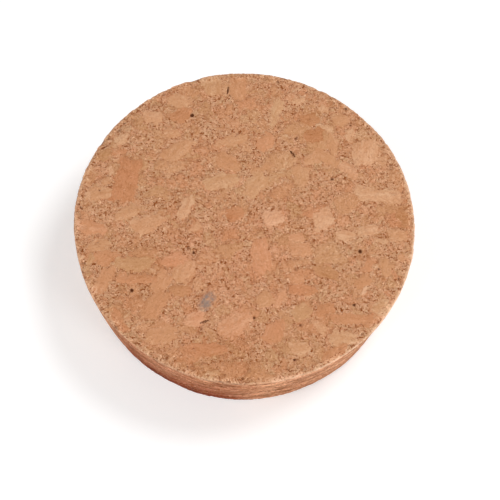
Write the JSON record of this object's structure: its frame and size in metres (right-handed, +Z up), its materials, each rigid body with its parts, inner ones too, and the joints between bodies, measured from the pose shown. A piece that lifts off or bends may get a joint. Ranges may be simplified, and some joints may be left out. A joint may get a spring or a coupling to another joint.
{
  "type": "cork stopper",
  "caption": "Wide tapered disc of pressed cork granules that plugs the mouth of a jar, with plain flat faces, softly rubbed edges and a chipped rim.",
  "frame": {"origin": "centre of the small face, which the stopper stands on", "axes": "+Z up the axis, from the small face to the large face; the stopper is round, so +X and +Y only fix where its chips and pores lie"},
  "size_m": [0.0848, 0.0848, 0.022],
  "materials": {
    "cork": "matte pressed cork, pale and reddish granules in fine brown crumb with small open pores"
  },
  "bodies": {
    "root": {"stopper": "cork"}
  },
  "joints": []
}
